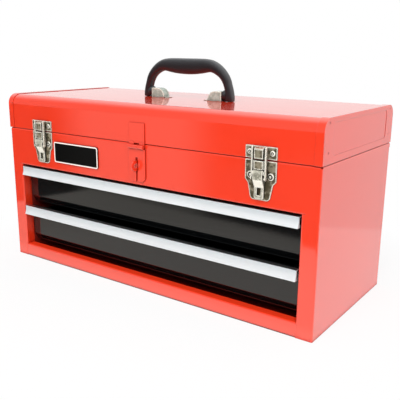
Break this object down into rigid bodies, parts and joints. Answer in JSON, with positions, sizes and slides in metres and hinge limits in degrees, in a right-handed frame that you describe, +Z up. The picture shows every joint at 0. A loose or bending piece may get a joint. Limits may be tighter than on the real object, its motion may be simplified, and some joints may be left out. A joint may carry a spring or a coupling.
{
  "type": "portable tool box with drawers",
  "caption": "Portable steel tool box: lidded top well, drawers on ball-bearing slides, draw latches, padlock hasp and a fold-down carrying handle.",
  "frame": {"origin": "middle of the cabinet's underside, on the surface the box stands on", "axes": "+X to the right as seen from the front, +Y to the back, +Z up; the front with the drawers faces -Y"},
  "size_m": [0.511, 0.2331, 0.3065],
  "materials": {
    "red_paint": "gloss powder coat",
    "black_paint": "semi-gloss powder coat",
    "aluminium": "brushed, clear anodised",
    "nickel_plate": "nickel plated",
    "zinc_steel": "zinc plated",
    "ball_steel": "polished",
    "black_plastic": "fine grain",
    "badge_black": "gloss with a bright rim"
  },
  "bodies": {
    "cabinet": {"cabinet_shell": "red_paint", "back_panel": "red_paint", "bottom_panel": "red_paint", "bottom_rail": "red_paint", "well_floor": "red_paint", "runner_panel_left": "red_paint", "runner_panel_right": "red_paint", "slide_channel_lower_left": "zinc_steel", "slide_channel_lower_right": "zinc_steel", "slide_channel_upper_left": "zinc_steel", "slide_channel_upper_right": "zinc_steel", "hinge_leaf_cabinet": "red_paint", "hinge_pin": "zinc_steel", "latch_base_left": "nickel_plate", "latch_base_right": "nickel_plate", "latch_base_rivets": "nickel_plate", "latch_pivot_pins": "nickel_plate", "hasp_staple": "red_paint", "badge_plate": "badge_black"},
    "lid": {"lid_shell": "red_paint", "lid_end_left": "red_paint", "lid_end_right": "red_paint", "hinge_leaf_lid": "red_paint", "latch_keeper_left": "nickel_plate", "latch_keeper_right": "nickel_plate", "keeper_rivets": "nickel_plate", "hasp_leaf": "red_paint", "hasp_pin": "red_paint", "handle_bracket_left": "nickel_plate", "handle_bracket_right": "nickel_plate", "handle_backing_plate": "zinc_steel"},
    "handle": {"handle_grip": "black_plastic", "handle_pins": "zinc_steel"},
    "hasp": {"hasp_strap": "red_paint"},
    "latch_lever_left": {"latch_lever_left": "nickel_plate", "link_pin_left": "nickel_plate"},
    "latch_link_left": {"latch_link_left": "nickel_plate"},
    "latch_lever_right": {"latch_lever_right": "nickel_plate", "link_pin_right": "nickel_plate"},
    "latch_link_right": {"latch_link_right": "nickel_plate"},
    "drawer_lower": {"drawer_box_lower": "black_paint", "drawer_front_lower": "black_paint", "drawer_pull_lower": "aluminium", "slide_rail_lower_left": "zinc_steel", "slide_rail_lower_right": "zinc_steel"},
    "cages_lower": {"ball_cage_lower_left": "zinc_steel", "ball_cage_lower_right": "zinc_steel", "slide_balls_lower": "ball_steel"},
    "drawer_upper": {"drawer_box_upper": "black_paint", "drawer_front_upper": "black_paint", "drawer_pull_upper": "aluminium", "slide_rail_upper_left": "zinc_steel", "slide_rail_upper_right": "zinc_steel"},
    "cages_upper": {"ball_cage_upper_left": "zinc_steel", "ball_cage_upper_right": "zinc_steel", "slide_balls_upper": "ball_steel"}
  },
  "joints": [
    {"name": "lid_hinge", "type": "hinge", "parent": "cabinet", "child": "lid", "pos_m": [0, 0.1104, 0.2015], "axis": [-1, 0, 0], "range_deg": [0, 100]},
    {"name": "handle_swing", "type": "hinge", "parent": "lid", "child": "handle", "pos_m": [0, 0, 0.259], "axis": [1, 0, 0], "range_deg": [-80, 80]},
    {"name": "hasp_swing", "type": "hinge", "parent": "lid", "child": "hasp", "pos_m": [0, -0.111, 0.1972], "axis": [-1, 0, 0], "range_deg": [0, 170]},
    {"name": "latch_lever_left_turn", "type": "hinge", "parent": "cabinet", "child": "latch_lever_left", "pos_m": [-0.1825, -0.1132, 0.187], "axis": [-1, 0, 0], "range_deg": [0, 110]},
    {"name": "latch_link_left_turn", "type": "hinge", "parent": "latch_lever_left", "child": "latch_link_left", "pos_m": [-0.1825, -0.114, 0.181], "axis": [-1, 0, 0], "range_deg": [-127, 0]},
    {"name": "latch_lever_right_turn", "type": "hinge", "parent": "cabinet", "child": "latch_lever_right", "pos_m": [0.1825, -0.1132, 0.187], "axis": [-1, 0, 0], "range_deg": [0, 110]},
    {"name": "latch_link_right_turn", "type": "hinge", "parent": "latch_lever_right", "child": "latch_link_right", "pos_m": [0.1825, -0.114, 0.181], "axis": [-1, 0, 0], "range_deg": [-127, 0]},
    {"name": "drawer_lower_slide", "type": "slide", "parent": "cabinet", "child": "drawer_lower", "axis": [0, -1, 0], "range_m": [0, 0.13]},
    {"name": "cages_lower_slide", "type": "slide", "parent": "cabinet", "child": "cages_lower", "axis": [0, -1, 0], "range_m": [0, 0.065]},
    {"name": "drawer_upper_slide", "type": "slide", "parent": "cabinet", "child": "drawer_upper", "axis": [0, -1, 0], "range_m": [0, 0.13]},
    {"name": "cages_upper_slide", "type": "slide", "parent": "cabinet", "child": "cages_upper", "axis": [0, -1, 0], "range_m": [0, 0.065]}
  ],
  "couplings": [
    {"joint": "latch_link_left_turn", "follows": "latch_lever_left_turn", "ratio": -1.15},
    {"joint": "latch_link_right_turn", "follows": "latch_lever_right_turn", "ratio": -1.15},
    {"joint": "cages_lower_slide", "follows": "drawer_lower_slide", "ratio": 0.5},
    {"joint": "cages_upper_slide", "follows": "drawer_upper_slide", "ratio": 0.5}
  ]
}
